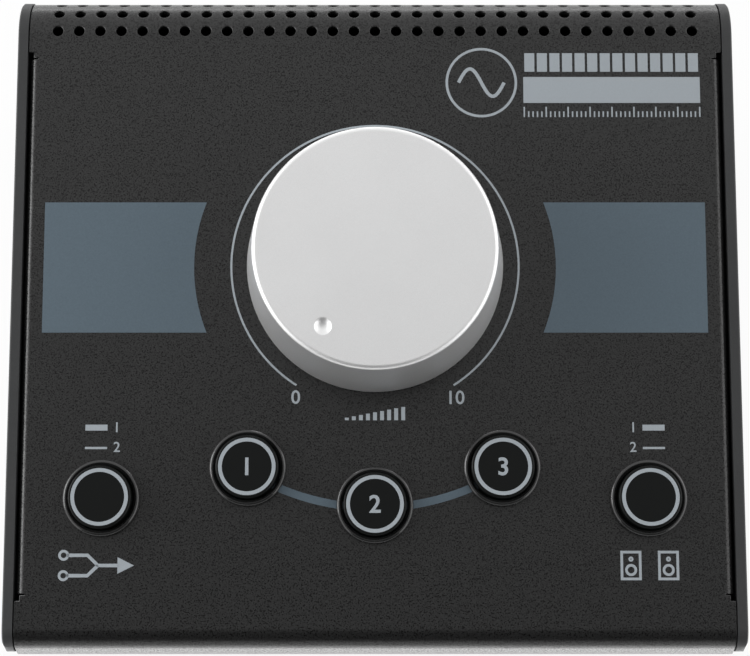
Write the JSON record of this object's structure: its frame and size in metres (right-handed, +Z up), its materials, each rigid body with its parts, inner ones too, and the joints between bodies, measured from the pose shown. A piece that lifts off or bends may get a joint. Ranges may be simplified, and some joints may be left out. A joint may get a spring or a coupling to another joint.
{
  "type": "studio monitor controller",
  "caption": "Wedge-shaped desktop studio monitor controller with a large volume knob, round push buttons on the sloping panel and phone jack sockets at the rear.",
  "frame": {"origin": "on the surface that the feet stand on, under the middle of the box and its socket bushings", "axes": "+X to the user's right, +Y to the rear where the sockets are, +Z up"},
  "size_m": [0.198, 0.1802, 0.0795],
  "materials": {
    "housing_paint": "fine textured black powder coat",
    "cheek_paint": "satin charcoal powder coat",
    "knob_aluminium": "fine blasted, clear anodised",
    "button_plastic": "matte black",
    "bezel_plastic": "gloss black",
    "foot_rubber": "matte black rubber",
    "black_screw": "black oxide",
    "nickel": "nickel plated",
    "socket_plastic": "moulded black nylon",
    "board_laminate": "green solder mask",
    "zinc_steel": "zinc plated",
    "shaft_aluminium": "turned",
    "ribbon_sleeve": "grey vinyl",
    "inner_plastic": "black moulded plastic"
  },
  "bodies": {
    "chassis": {"base_pan": "housing_paint", "base_screws": "black_screw", "cheek_screws": "black_screw", "control_board": "board_laminate", "control_header": "inner_plastic", "control_posts": "zinc_steel", "control_screws": "zinc_steel", "dim_bezel": "bezel_plastic", "dim_switch": "inner_plastic", "jack_board": "board_laminate", "jack_board_posts": "zinc_steel", "jack_board_screws": "zinc_steel", "jack_header": "inner_plastic", "jack_nuts": "nickel", "jack_socket_1": "socket_plastic", "jack_socket_2": "socket_plastic", "jack_socket_3": "socket_plastic", "jack_socket_4": "socket_plastic", "jack_socket_5": "socket_plastic", "jack_socket_6": "socket_plastic", "jack_socket_7": "socket_plastic", "jack_socket_8": "socket_plastic", "jack_washers": "nickel", "left_cheek": "cheek_paint", "monitor_select_bezel": "bezel_plastic", "monitor_select_switch": "inner_plastic", "mono_bezel": "bezel_plastic", "mono_switch": "inner_plastic", "mute_bezel": "bezel_plastic", "mute_switch": "inner_plastic", "pot_bushing": "zinc_steel", "pot_case": "zinc_steel", "pot_nut": "nickel", "pot_washer": "nickel", "rear_panel": "housing_paint", "rear_screws": "black_screw", "ribbon_cable": "ribbon_sleeve", "right_cheek": "cheek_paint", "rubber_feet": "foot_rubber", "source_select_bezel": "bezel_plastic", "source_select_switch": "inner_plastic", "top_cover": "housing_paint"},
    "volume_dial": {"volume_knob": "knob_aluminium", "knob_hub": "inner_plastic", "pot_shaft": "shaft_aluminium"},
    "source_select_button": {"source_select_cap": "button_plastic", "source_select_plunger": "inner_plastic"},
    "mono_button": {"mono_cap": "button_plastic", "mono_plunger": "inner_plastic"},
    "mute_button": {"mute_cap": "button_plastic", "mute_plunger": "inner_plastic"},
    "dim_button": {"dim_cap": "button_plastic", "dim_plunger": "inner_plastic"},
    "monitor_select_button": {"monitor_select_cap": "button_plastic", "monitor_select_plunger": "inner_plastic"}
  },
  "joints": [
    {"name": "volume_turn", "type": "hinge", "parent": "chassis", "child": "volume_dial", "pos_m": [0, 0.00752, 0.04512], "axis": [0, 0.3007, -0.9537], "range_deg": [0, 295]},
    {"name": "source_select_press", "type": "slide", "parent": "chassis", "child": "source_select_button", "axis": [0, 0.3007, -0.9537], "range_m": [0, 0.0025], "stiffness_N_per_m": 600, "springref_m": -0.001},
    {"name": "mono_press", "type": "slide", "parent": "chassis", "child": "mono_button", "axis": [0, 0.3007, -0.9537], "range_m": [0, 0.0025], "stiffness_N_per_m": 600, "springref_m": -0.001},
    {"name": "mute_press", "type": "slide", "parent": "chassis", "child": "mute_button", "axis": [0, 0.3007, -0.9537], "range_m": [0, 0.0025], "stiffness_N_per_m": 600, "springref_m": -0.001},
    {"name": "dim_press", "type": "slide", "parent": "chassis", "child": "dim_button", "axis": [0, 0.3007, -0.9537], "range_m": [0, 0.0025], "stiffness_N_per_m": 600, "springref_m": -0.001},
    {"name": "monitor_select_press", "type": "slide", "parent": "chassis", "child": "monitor_select_button", "axis": [0, 0.3007, -0.9537], "range_m": [0, 0.0025], "stiffness_N_per_m": 600, "springref_m": -0.001}
  ]
}
